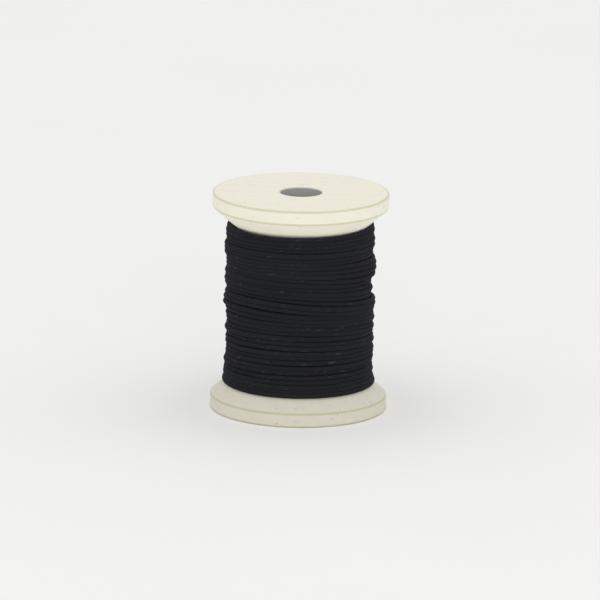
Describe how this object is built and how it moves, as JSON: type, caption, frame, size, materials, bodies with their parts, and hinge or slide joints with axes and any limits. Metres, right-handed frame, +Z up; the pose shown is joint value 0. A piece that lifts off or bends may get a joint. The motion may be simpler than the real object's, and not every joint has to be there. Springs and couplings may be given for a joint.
{
  "type": "spool of thread",
  "caption": "Wooden thread spool with two bevelled flanges on a barrel, bored through for a pin and filled with dark thread.",
  "frame": {"origin": "centre of the lower flange's flat face, on the bore's axis", "axes": "+Z up along the bore's axis, towards the upper flange; the spool is the same all round, so +X and +Y are free, and -Y is called the front"},
  "size_m": [0.032, 0.032, 0.04],
  "materials": {
    "flange_wood": "pale bleached hardwood, turned and sanded, unvarnished",
    "barrel_wood": "pale hardwood, turned",
    "wound_thread": "near-black plied thread, soft sheen"
  },
  "bodies": {
    "root": {"bottom_flange": "flange_wood", "top_flange": "flange_wood", "barrel": "barrel_wood", "thread_winding": "wound_thread"}
  },
  "joints": []
}
